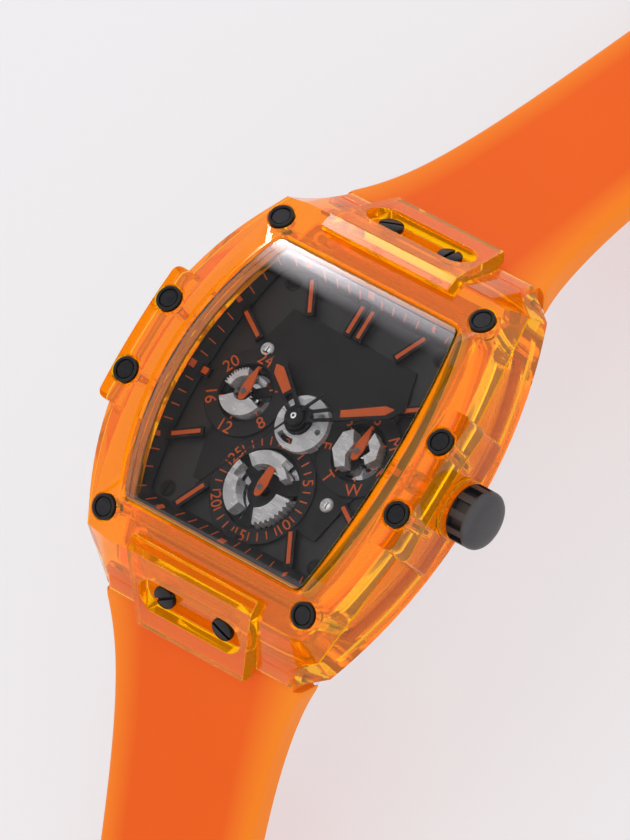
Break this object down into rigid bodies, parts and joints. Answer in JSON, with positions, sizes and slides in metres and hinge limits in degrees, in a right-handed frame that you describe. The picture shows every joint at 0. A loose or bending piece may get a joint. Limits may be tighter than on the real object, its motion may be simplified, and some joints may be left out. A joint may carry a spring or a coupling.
{
  "type": "sport watch",
  "caption": "Tonneau sport watch with a clear case, screwed bezel, multifunction dial, crown and an open silicone strap with a pin buckle.",
  "frame": {"origin": "centre of the case back's flat outer face", "axes": "+Z out of the dial, +Y towards 12 o'clock along the strap, +X towards the crown"},
  "size_m": [0.047, 0.24, 0.0467],
  "materials": {
    "clear_case": "polished clear polycarbonate",
    "crystal_glass": "polished",
    "silicone": "satin",
    "black_steel": "black plated satin",
    "steel": "fine brushed",
    "seal_rubber": "matt",
    "moulding": "matt",
    "coil_wire": "enamelled",
    "dial_black": "matt",
    "lume_orange": "matt"
  },
  "bodies": {
    "head": {"bezel": "clear_case", "case_middle": "clear_case", "crystal": "crystal_glass", "crystal_gasket": "seal_rubber", "case_back": "steel", "case_back_gasket": "seal_rubber", "bezel_screw_1": "black_steel", "bezel_screw_2": "black_steel", "bezel_screw_3": "black_steel", "bezel_screw_4": "black_steel", "bezel_screw_5": "black_steel", "bezel_screw_6": "black_steel", "bezel_screw_7": "black_steel", "bezel_screw_8": "black_steel", "back_screw_1": "steel", "back_screw_2": "steel", "back_screw_3": "steel", "back_screw_4": "steel", "hood_12": "clear_case", "hood_6": "clear_case", "hood_screw_1": "black_steel", "hood_screw_2": "black_steel", "hood_screw_3": "black_steel", "hood_screw_4": "black_steel", "strap_bar_12": "steel", "strap_bar_6": "steel", "crown_tube": "steel", "crown_collar": "clear_case", "movement_holder": "moulding", "movement_plate": "steel", "movement_bridge": "steel", "battery": "steel", "stepper_coil": "coil_wire", "dial": "dial_black", "dial_centre_plate": "dial_black", "chapter_ring": "dial_black", "subdial_24h": "dial_black", "subdial_date": "dial_black", "subdial_day": "dial_black"},
    "setting_slide": {"setting_lever": "steel"},
    "crown": {"crown": "black_steel", "winding_stem": "steel", "crown_gasket": "seal_rubber"},
    "hour": {"hour_hand": "dial_black", "hour_wheel": "steel"},
    "minute": {"minute_hand": "dial_black"},
    "second": {"second_hand": "lume_orange"},
    "small_24h": {"hand_24h": "lume_orange", "wheel_24h": "steel"},
    "small_date": {"hand_date": "lume_orange", "wheel_date": "steel"},
    "small_day": {"hand_day": "lume_orange", "wheel_day": "steel"},
    "strap_12": {"strap_12": "silicone", "keeper_fixed": "silicone", "buckle_bar": "steel"},
    "strap_6": {"strap_6": "silicone"},
    "buckle": {"buckle_frame": "black_steel"},
    "tongue": {"buckle_tongue": "black_steel"},
    "free_keeper": {"keeper_sliding": "silicone"}
  },
  "joints": [
    {"name": "crown_pull", "type": "slide", "parent": "head", "child": "setting_slide", "axis": [1, 0, 0], "range_m": [0, 0.0016]},
    {"name": "crown_turn", "type": "hinge", "parent": "setting_slide", "child": "crown", "pos_m": [0.0235, 0, 0.00575], "axis": [1, 0, 0], "continuous": true},
    {"name": "minute_turn", "type": "hinge", "parent": "head", "child": "minute", "pos_m": [0, 0, 0.008], "axis": [0, 0, -1], "continuous": true},
    {"name": "hour_turn", "type": "hinge", "parent": "head", "child": "hour", "pos_m": [0, 0, 0.008], "axis": [0, 0, -1], "continuous": true},
    {"name": "second_turn", "type": "hinge", "parent": "head", "child": "second", "pos_m": [0, 0, 0.008], "axis": [0, 0, -1], "continuous": true},
    {"name": "small_24h_turn", "type": "hinge", "parent": "head", "child": "small_24h", "pos_m": [-0.00812, 0, 0.008], "axis": [0, 0, -1], "continuous": true},
    {"name": "small_date_turn", "type": "hinge", "parent": "head", "child": "small_date", "pos_m": [0, -0.00823, 0.008], "axis": [0, 0, -1], "continuous": true},
    {"name": "small_day_turn", "type": "hinge", "parent": "head", "child": "small_day", "pos_m": [0.00812, 0, 0.008], "axis": [0, 0, -1], "continuous": true},
    {"name": "strap_12_swing", "type": "hinge", "parent": "head", "child": "strap_12", "pos_m": [0, 0.0229, 0.002], "axis": [-1, 0, 0], "range_deg": [0, 20]},
    {"name": "strap_6_swing", "type": "hinge", "parent": "head", "child": "strap_6", "pos_m": [0, -0.0229, 0.002], "axis": [1, 0, 0], "range_deg": [0, 20]},
    {"name": "buckle_swing", "type": "hinge", "parent": "strap_12", "child": "buckle", "pos_m": [0, 0.09353, -0.0301], "axis": [1, 0, 0], "range_deg": [-30, 45]},
    {"name": "tongue_swing", "type": "hinge", "parent": "buckle", "child": "tongue", "pos_m": [0, 0.09353, -0.0301], "axis": [1, 0, 0], "range_deg": [0, 60]},
    {"name": "keeper_slide", "type": "slide", "parent": "strap_12", "child": "free_keeper", "axis": [0, 1, 0], "range_m": [0, 0.004]}
  ],
  "couplings": [
    {"joint": "minute_turn", "follows": "second_turn", "ratio": 0.016667},
    {"joint": "hour_turn", "follows": "second_turn", "ratio": 0.0013889},
    {"joint": "small_24h_turn", "follows": "second_turn", "ratio": 0.00069444},
    {"joint": "small_date_turn", "follows": "second_turn", "ratio": 0.000022401},
    {"joint": "small_day_turn", "follows": "second_turn", "ratio": 0.000099206}
  ]
}
